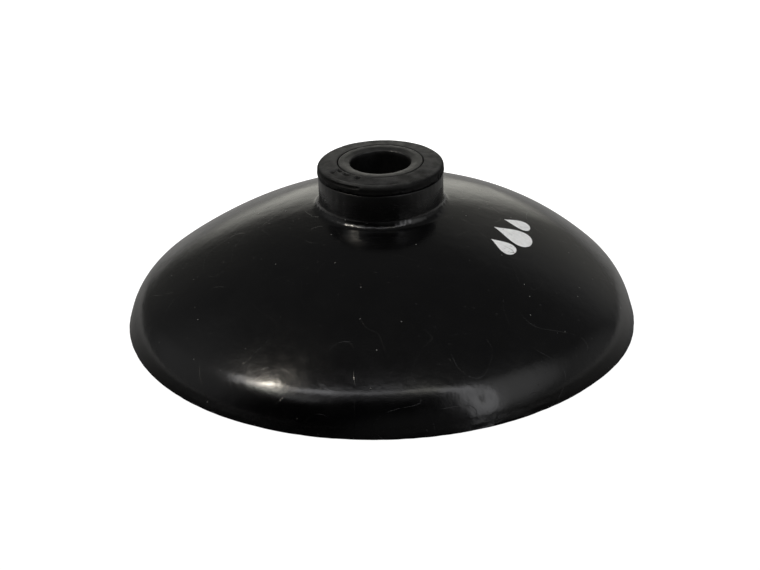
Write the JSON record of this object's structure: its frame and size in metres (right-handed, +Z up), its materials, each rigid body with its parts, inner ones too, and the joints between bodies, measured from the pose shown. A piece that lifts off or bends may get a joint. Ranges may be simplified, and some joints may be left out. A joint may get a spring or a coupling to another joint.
{
  "type": "sink plunger head",
  "caption": "Black rubber plunger cup that stands on its rim, with a shallow dome, a short collared neck and a bushed socket for a push-in handle.",
  "frame": {"origin": "centre of the rim's sealing face, at the bottom of the cup", "axes": "+Z up along the handle's axis; the part is turned round Z, so +X and +Y only set the view"},
  "size_m": [0.15, 0.15, 0.0476],
  "materials": {
    "cup_rubber": "satin, moulded",
    "collar_rubber": "matte, with torn flash",
    "bush_plastic": "matte, turned",
    "disc_steel": "zinc plated"
  },
  "bodies": {
    "cup": {"cup": "cup_rubber"},
    "socket": {"neck_collar": "collar_rubber", "socket_bush": "bush_plastic", "stop_disc": "disc_steel"}
  },
  "joints": [
    {"name": "plunge", "type": "slide", "parent": "cup", "child": "socket", "axis": [0, 0, -1], "range_m": [-0.004, 0.012], "stiffness_N_per_m": 1800, "deforming": ["cup"]}
  ]
}
